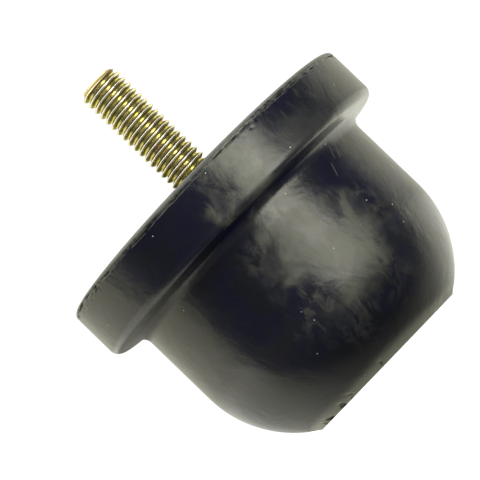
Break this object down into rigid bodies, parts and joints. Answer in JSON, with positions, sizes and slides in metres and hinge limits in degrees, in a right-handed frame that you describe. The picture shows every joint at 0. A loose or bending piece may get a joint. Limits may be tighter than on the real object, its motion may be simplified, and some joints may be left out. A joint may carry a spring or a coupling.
{
  "type": "hood bumper",
  "caption": "Moulded black rubber buffer with a round flange, a domed nose with a flat end, and a zinc-plated threaded stud for bolting it down.",
  "frame": {"origin": "centre of the flange's mounting face, where the stud leaves the rubber", "axes": "+Z along the stud, away from the rubber; the buffer's nose points along -Z and it stands on its flat end"},
  "size_m": [0.0752, 0.0752, 0.0829],
  "materials": {
    "rubber": "satin",
    "zinc_plate": "satin"
  },
  "bodies": {
    "root": {"rubber_body": "rubber", "stud_bolt": "zinc_plate"}
  },
  "joints": []
}
